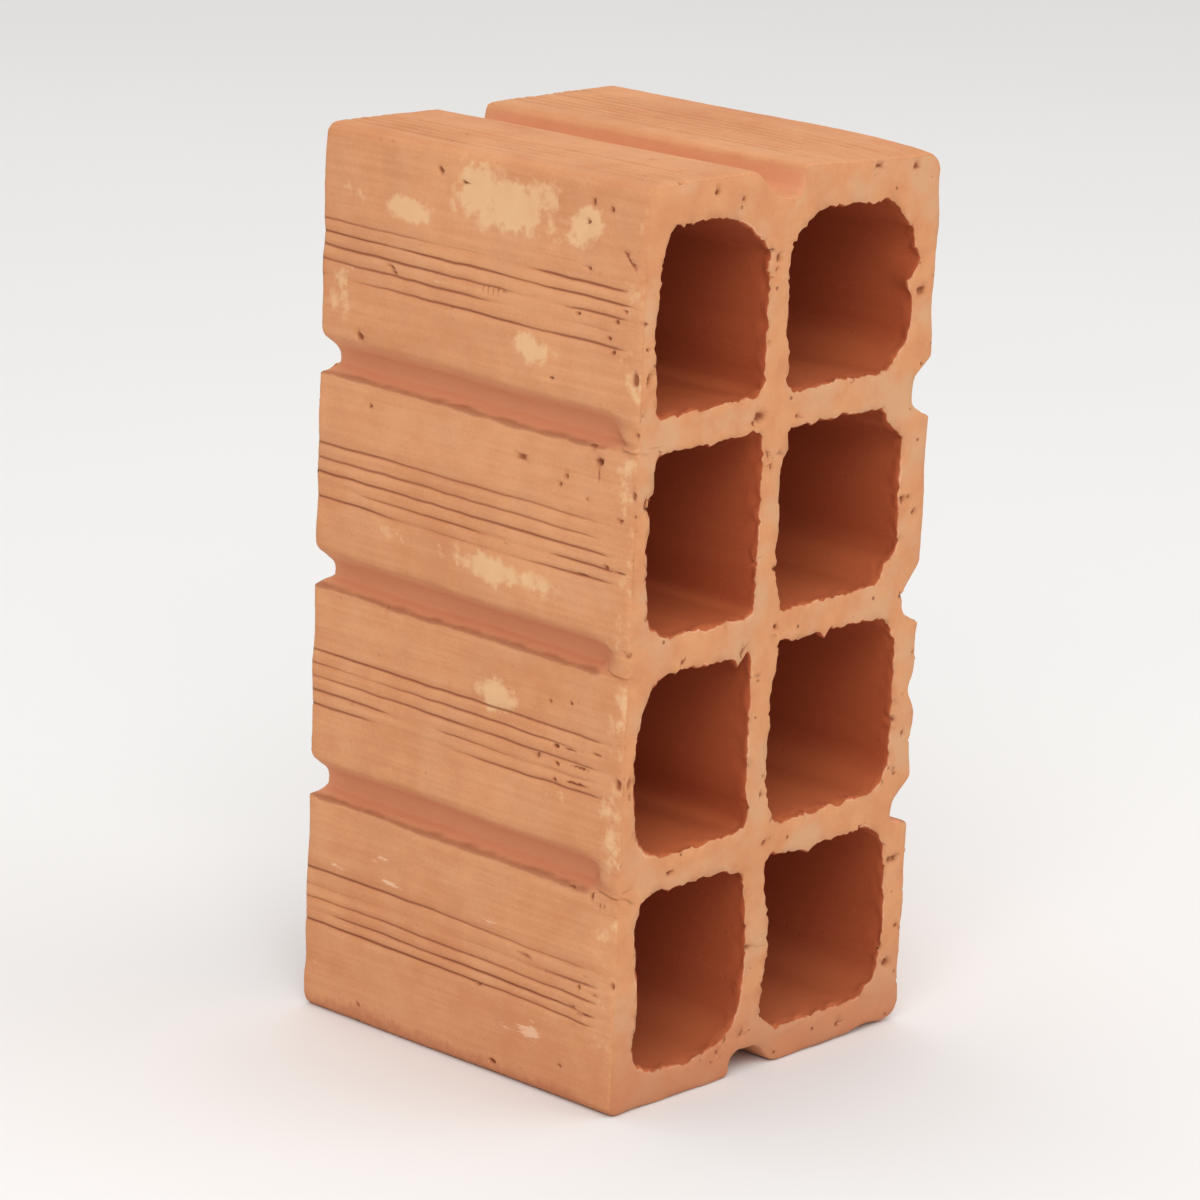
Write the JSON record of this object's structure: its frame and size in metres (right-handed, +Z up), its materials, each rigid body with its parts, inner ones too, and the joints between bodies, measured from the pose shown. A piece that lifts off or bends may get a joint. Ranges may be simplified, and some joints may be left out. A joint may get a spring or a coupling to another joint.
{
  "type": "hollow clay brick",
  "caption": "Hollow extruded clay building brick, a half-length block whose cells run level from cut end to cut end, with keyed and scored faces.",
  "frame": {"origin": "middle of the box at the foot, on the floor that the brick stands on", "axes": "+X across the two columns of cells, +Y along the cells from the front cut end to the back one, +Z up"},
  "size_m": [0.09, 0.09, 0.19],
  "materials": {
    "fired_clay": "matt fired terracotta, orange-tan and dusty, redder in its grooves and cells"
  },
  "bodies": {
    "root": {"brick": "fired_clay"}
  },
  "joints": []
}
